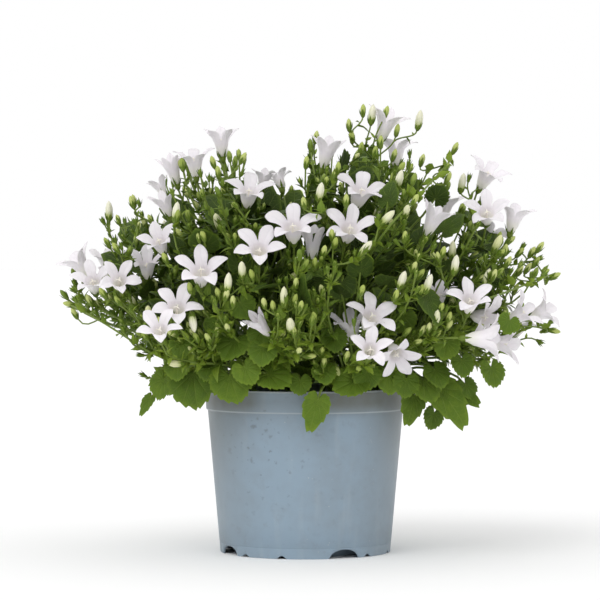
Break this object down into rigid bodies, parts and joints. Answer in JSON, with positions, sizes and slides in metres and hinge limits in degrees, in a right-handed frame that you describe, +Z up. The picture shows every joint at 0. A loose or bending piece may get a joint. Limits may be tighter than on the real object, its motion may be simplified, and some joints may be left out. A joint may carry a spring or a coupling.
{
  "type": "potted bellflower",
  "caption": "Bushy bellflower with white five-lobed bell blooms, toothed leaves and buds, growing in a grey-blue plastic grower's pot.",
  "frame": {"origin": "centre of the pot's flat underside, on the surface that the pot stands on", "axes": "+Z up along the pot's axis; -Y towards the side of the plant that the picture shows; +X to the viewer's right"},
  "size_m": [0.3045, 0.2322, 0.2679],
  "materials": {
    "pot_plastic": "satin moulded plastic, lightly dusty",
    "soil": "matt crumbly potting soil",
    "foliage": "soft satin leaves, stems and buds",
    "petals": "soft matt white petals with a faint lilac shade"
  },
  "bodies": {
    "root": {"pot": "pot_plastic", "soil": "soil", "spray_01": "foliage", "spray_02": "foliage", "spray_03": "foliage", "spray_04": "foliage", "spray_05": "foliage", "spray_06": "foliage", "spray_07": "foliage", "spray_08": "foliage", "spray_09": "foliage", "spray_10": "foliage", "spray_11": "foliage", "bloom_01": "petals", "bloom_02": "petals", "bloom_03": "petals", "bloom_04": "petals", "bloom_05": "petals", "bloom_06": "petals", "bloom_07": "petals", "bloom_08": "petals", "bloom_09": "petals", "bloom_10": "petals", "bloom_11": "petals", "bloom_12": "petals", "bloom_13": "petals", "bloom_14": "petals", "bloom_15": "petals", "bloom_16": "petals", "bloom_17": "petals", "bloom_18": "petals", "bloom_19": "petals", "bloom_20": "petals", "bloom_21": "petals", "bloom_22": "petals", "bloom_23": "petals", "bloom_24": "petals", "bloom_25": "petals", "bloom_26": "petals", "bloom_27": "petals", "bloom_28": "petals", "bloom_29": "petals", "bloom_30": "petals", "bloom_31": "petals", "bloom_32": "petals", "bloom_33": "petals", "bloom_34": "petals", "bloom_35": "petals", "bloom_36": "petals", "bloom_37": "petals", "bloom_38": "petals", "bloom_39": "petals", "bloom_40": "petals", "bloom_41": "petals", "bloom_42": "petals", "bloom_43": "petals", "bloom_44": "petals", "bloom_45": "petals", "bloom_46": "petals", "bloom_47": "petals"}
  },
  "joints": []
}
